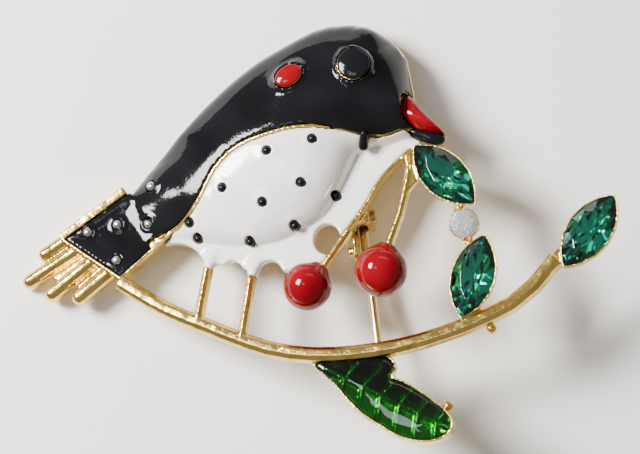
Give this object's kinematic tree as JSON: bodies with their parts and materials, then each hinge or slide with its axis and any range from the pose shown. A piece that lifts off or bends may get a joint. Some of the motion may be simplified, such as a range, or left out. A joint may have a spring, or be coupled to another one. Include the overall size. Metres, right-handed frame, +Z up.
{
  "type": "figural animal brooch",
  "caption": "Figural bird brooch: an enamelled bird on a cast branch with a leaf, berries and cut stones, and a hinged pin with a catch behind.",
  "frame": {"origin": "bottom centre of the brooch's box as it lies face up on a table", "axes": "+X along the longest side, from the tail towards the upper stones; +Y from the leaf towards the bird's head; +Z up out of the front"},
  "size_m": [0.06, 0.0426, 0.0127],
  "materials": {
    "gold": "polished gold-toned plating",
    "pin_metal": "polished gold-toned plating on the pin and rivet",
    "black_enamel": "glossy black enamel",
    "white_enamel": "glossy white enamel",
    "red_enamel": "glossy red enamel",
    "leaf_enamel": "see-through green enamel over ribbed metal",
    "green_stone": "faceted green glass",
    "crystal": "faceted clear glass with a mirrored back",
    "stud": "bright silver-toned studs"
  },
  "bodies": {
    "brooch": {"frame": "gold", "black_enamel": "black_enamel", "white_enamel": "white_enamel", "beak_enamel": "red_enamel", "lower_beak": "black_enamel", "red_spot": "red_enamel", "eye": "black_enamel", "leaf_enamel": "leaf_enamel", "berry_1": "red_enamel", "berry_2": "red_enamel", "crystal": "crystal", "hinge_rivet": "pin_metal", "stone_1": "green_stone", "stone_2": "green_stone", "stone_3": "green_stone", "belly_dot_1": "black_enamel", "belly_dot_2": "black_enamel", "belly_dot_3": "black_enamel", "belly_dot_4": "black_enamel", "belly_dot_5": "black_enamel", "belly_dot_6": "black_enamel", "belly_dot_7": "black_enamel", "belly_dot_8": "black_enamel", "belly_dot_9": "black_enamel", "belly_dot_10": "black_enamel", "tail_stud_1": "stud", "tail_stud_2": "stud", "tail_stud_3": "stud", "tail_stud_4": "stud", "tail_stud_5": "stud"},
    "pin": {"pin_stem": "pin_metal"}
  },
  "joints": [
    {"name": "pin_hinge", "type": "hinge", "parent": "brooch", "child": "pin", "pos_m": [0.00456, 0.00169, 0.00164], "axis": [0.9785, 0.1525, 0.1388], "range_deg": [0, 70]}
  ]
}
